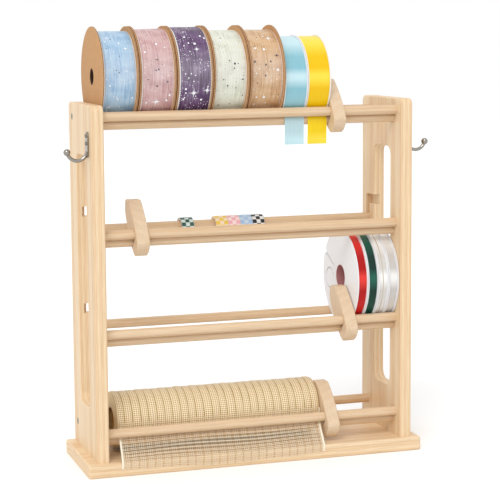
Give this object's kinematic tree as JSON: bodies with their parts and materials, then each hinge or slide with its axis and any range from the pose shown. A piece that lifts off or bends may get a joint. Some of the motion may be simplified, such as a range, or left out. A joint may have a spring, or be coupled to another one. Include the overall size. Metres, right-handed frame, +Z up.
{
  "type": "ribbon spool rack",
  "caption": "Tabletop wooden ribbon rack: side panels on a base board, tiers of paired dowels, sliding dividers, side hooks, loaded with ribbon spools and rolls.",
  "frame": {"origin": "middle of the base board's underside", "axes": "+X to the right along the dowels, +Y to the back, +Z up; the feed gaps, dividers and loose ribbon ends face -Y"},
  "size_m": [0.44, 0.1281, 0.5069],
  "materials": {
    "pine_board": "clear-coated pale pine board, soft edges",
    "pine_dowel": "clear-coated turned pine dowel",
    "zinc_screw": "zinc-plated screw",
    "polished_hook": "polished plated hook",
    "kraft_board": "uncoated brown kraft board",
    "core_board": "wound grey-brown board tube",
    "white_plastic": "moulded white plastic",
    "sheer_ribbon_blue": "sheer woven ribbon, pale blue, silver print",
    "sheer_ribbon_pink": "sheer woven ribbon, dusty pink, silver print",
    "sheer_ribbon_purple": "sheer woven ribbon, deep purple, white print",
    "sheer_ribbon_cream": "sheer woven ribbon, cream, silver print",
    "sheer_ribbon_tan": "sheer woven ribbon, tan, silver print",
    "satin_ribbon_sky": "satin ribbon, light blue",
    "satin_ribbon_yellow": "satin ribbon, golden yellow",
    "narrow_ribbon_red": "satin ribbon, red",
    "narrow_ribbon_green": "satin ribbon, dark green",
    "narrow_ribbon_white": "satin ribbon, white",
    "narrow_ribbon_sheer": "sheer ribbon, white-grey",
    "paper_tape_teal": "paper tape, teal check, on a board core",
    "paper_tape_yellow": "paper tape, yellow check, on a board core",
    "paper_tape_pink": "paper tape, pink check, on a board core",
    "paper_tape_blue": "paper tape, light blue check, on a board core",
    "paper_tape_black": "paper tape, black check, on a board core",
    "gold_mesh": "open-weave metallic mesh, pale gold"
  },
  "bodies": {
    "frame": {"base_board": "pine_board", "side_panel_left": "pine_board", "side_panel_right": "pine_board", "front_rod_tier_1": "pine_dowel", "front_rod_tier_2": "pine_dowel", "front_rod_tier_3": "pine_dowel", "front_rod_tier_4": "pine_dowel", "lower_rod_tier_1": "pine_dowel", "lower_rod_tier_2": "pine_dowel", "lower_rod_tier_3": "pine_dowel", "lower_rod_tier_4": "pine_dowel", "rear_rod_tier_1": "pine_dowel", "rear_rod_tier_3": "pine_dowel", "rear_rod_tier_4": "pine_dowel", "rod_screws": "zinc_screw", "base_screws": "zinc_screw", "hook_screws": "zinc_screw", "hook_left": "polished_hook", "hook_right": "polished_hook", "satin_tail_sky": "satin_ribbon_sky", "satin_tail_yellow": "satin_ribbon_yellow", "mesh_tail": "gold_mesh"},
    "sheer_spool_blue": {"board_reel_blue": "kraft_board", "sheer_ribbon_blue": "sheer_ribbon_blue"},
    "sheer_spool_pink": {"board_reel_pink": "kraft_board", "sheer_ribbon_pink": "sheer_ribbon_pink"},
    "sheer_spool_purple": {"board_reel_purple": "kraft_board", "sheer_ribbon_purple": "sheer_ribbon_purple"},
    "sheer_spool_cream": {"board_reel_cream": "kraft_board", "sheer_ribbon_cream": "sheer_ribbon_cream"},
    "sheer_spool_tan": {"board_reel_tan": "kraft_board", "sheer_ribbon_tan": "sheer_ribbon_tan"},
    "satin_spool_sky": {"satin_reel_sky": "white_plastic", "satin_ribbon_sky": "satin_ribbon_sky"},
    "satin_spool_yellow": {"satin_reel_yellow": "white_plastic", "satin_ribbon_yellow": "satin_ribbon_yellow"},
    "narrow_spool_red": {"narrow_reel_red": "white_plastic", "narrow_ribbon_red": "narrow_ribbon_red"},
    "narrow_spool_green": {"narrow_reel_green": "white_plastic", "narrow_ribbon_green": "narrow_ribbon_green"},
    "narrow_spool_white": {"narrow_reel_white": "white_plastic", "narrow_ribbon_white": "narrow_ribbon_white"},
    "narrow_spool_sheer": {"narrow_reel_sheer": "white_plastic", "narrow_ribbon_sheer": "narrow_ribbon_sheer"},
    "tape_teal": {"tape_roll_teal": "paper_tape_teal"},
    "tape_yellow": {"tape_roll_yellow": "paper_tape_yellow"},
    "tape_pink": {"tape_roll_pink": "paper_tape_pink"},
    "tape_blue": {"tape_roll_blue": "paper_tape_blue"},
    "tape_black": {"tape_roll_black": "paper_tape_black"},
    "mesh_roll": {"mesh_core": "core_board", "mesh_winding": "gold_mesh"},
    "tape_rod": {"rear_rod_tier_2": "pine_dowel"},
    "divider_1": {"divider_tier_1": "pine_board"},
    "divider_2": {"divider_tier_2": "pine_board"},
    "divider_3": {"divider_tier_3": "pine_board"},
    "divider_4": {"divider_tier_4": "pine_board"}
  },
  "joints": [
    {"name": "turn_sheer_blue", "type": "hinge", "parent": "frame", "child": "sheer_spool_blue", "pos_m": [-0.1562, 0.00208, 0.45027], "axis": [1, 0, 0], "continuous": true},
    {"name": "turn_sheer_pink", "type": "hinge", "parent": "frame", "child": "sheer_spool_pink", "pos_m": [-0.1131, 0.00208, 0.45027], "axis": [1, 0, 0], "continuous": true},
    {"name": "turn_sheer_purple", "type": "hinge", "parent": "frame", "child": "sheer_spool_purple", "pos_m": [-0.07, 0.00208, 0.45027], "axis": [1, 0, 0], "continuous": true},
    {"name": "turn_sheer_cream", "type": "hinge", "parent": "frame", "child": "sheer_spool_cream", "pos_m": [-0.0269, 0.00208, 0.45027], "axis": [1, 0, 0], "continuous": true},
    {"name": "turn_sheer_tan", "type": "hinge", "parent": "frame", "child": "sheer_spool_tan", "pos_m": [0.0162, 0.00208, 0.45027], "axis": [1, 0, 0], "continuous": true},
    {"name": "turn_satin_sky", "type": "hinge", "parent": "frame", "child": "satin_spool_sky", "pos_m": [0.0518, 0.00183, 0.44307], "axis": [1, 0, 0], "continuous": true},
    {"name": "turn_satin_yellow", "type": "hinge", "parent": "frame", "child": "satin_spool_yellow", "pos_m": [0.0799, 0.00183, 0.44307], "axis": [1, 0, 0], "continuous": true},
    {"name": "turn_narrow_red", "type": "hinge", "parent": "frame", "child": "narrow_spool_red", "pos_m": [0.1319, 0.00212, 0.2046], "axis": [1, 0, 0], "continuous": true},
    {"name": "turn_narrow_green", "type": "hinge", "parent": "frame", "child": "narrow_spool_green", "pos_m": [0.145, 0.00212, 0.2046], "axis": [1, 0, 0], "continuous": true},
    {"name": "turn_narrow_white", "type": "hinge", "parent": "frame", "child": "narrow_spool_white", "pos_m": [0.1581, 0.00212, 0.2046], "axis": [1, 0, 0], "continuous": true},
    {"name": "turn_narrow_sheer", "type": "hinge", "parent": "frame", "child": "narrow_spool_sheer", "pos_m": [0.1712, 0.00212, 0.2046], "axis": [1, 0, 0], "continuous": true},
    {"name": "lift_tape_rod", "type": "slide", "parent": "frame", "child": "tape_rod", "axis": [0, 0, 1], "range_m": [0, 0.0235]},
    {"name": "turn_tape_teal", "type": "hinge", "parent": "tape_rod", "child": "tape_teal", "pos_m": [-0.0565, 0.0435, 0.26595], "axis": [1, 0, 0], "continuous": true},
    {"name": "turn_tape_yellow", "type": "hinge", "parent": "tape_rod", "child": "tape_yellow", "pos_m": [-0.014, 0.0435, 0.26595], "axis": [1, 0, 0], "continuous": true},
    {"name": "turn_tape_pink", "type": "hinge", "parent": "tape_rod", "child": "tape_pink", "pos_m": [0.0013, 0.0435, 0.26595], "axis": [1, 0, 0], "continuous": true},
    {"name": "turn_tape_blue", "type": "hinge", "parent": "tape_rod", "child": "tape_blue", "pos_m": [0.0166, 0.0435, 0.26595], "axis": [1, 0, 0], "continuous": true},
    {"name": "turn_tape_black", "type": "hinge", "parent": "tape_rod", "child": "tape_black", "pos_m": [0.0319, 0.0435, 0.26595], "axis": [1, 0, 0], "continuous": true},
    {"name": "turn_mesh", "type": "hinge", "parent": "frame", "child": "mesh_roll", "pos_m": [-0.0355, 0.00302, 0.0503], "axis": [1, 0, 0], "continuous": true},
    {"name": "slide_divider_1", "type": "slide", "parent": "frame", "child": "divider_1", "axis": [1, 0, 0], "range_m": [-0.0005, 0.0682]},
    {"name": "slide_divider_2", "type": "slide", "parent": "frame", "child": "divider_2", "axis": [1, 0, 0], "range_m": [-0.036, 0.3044]},
    {"name": "slide_divider_3", "type": "slide", "parent": "frame", "child": "divider_3", "axis": [1, 0, 0], "range_m": [-0.2875, 0.0005]},
    {"name": "slide_divider_4", "type": "slide", "parent": "frame", "child": "divider_4", "axis": [1, 0, 0], "range_m": [-0.0005, 0.0759]}
  ]
}
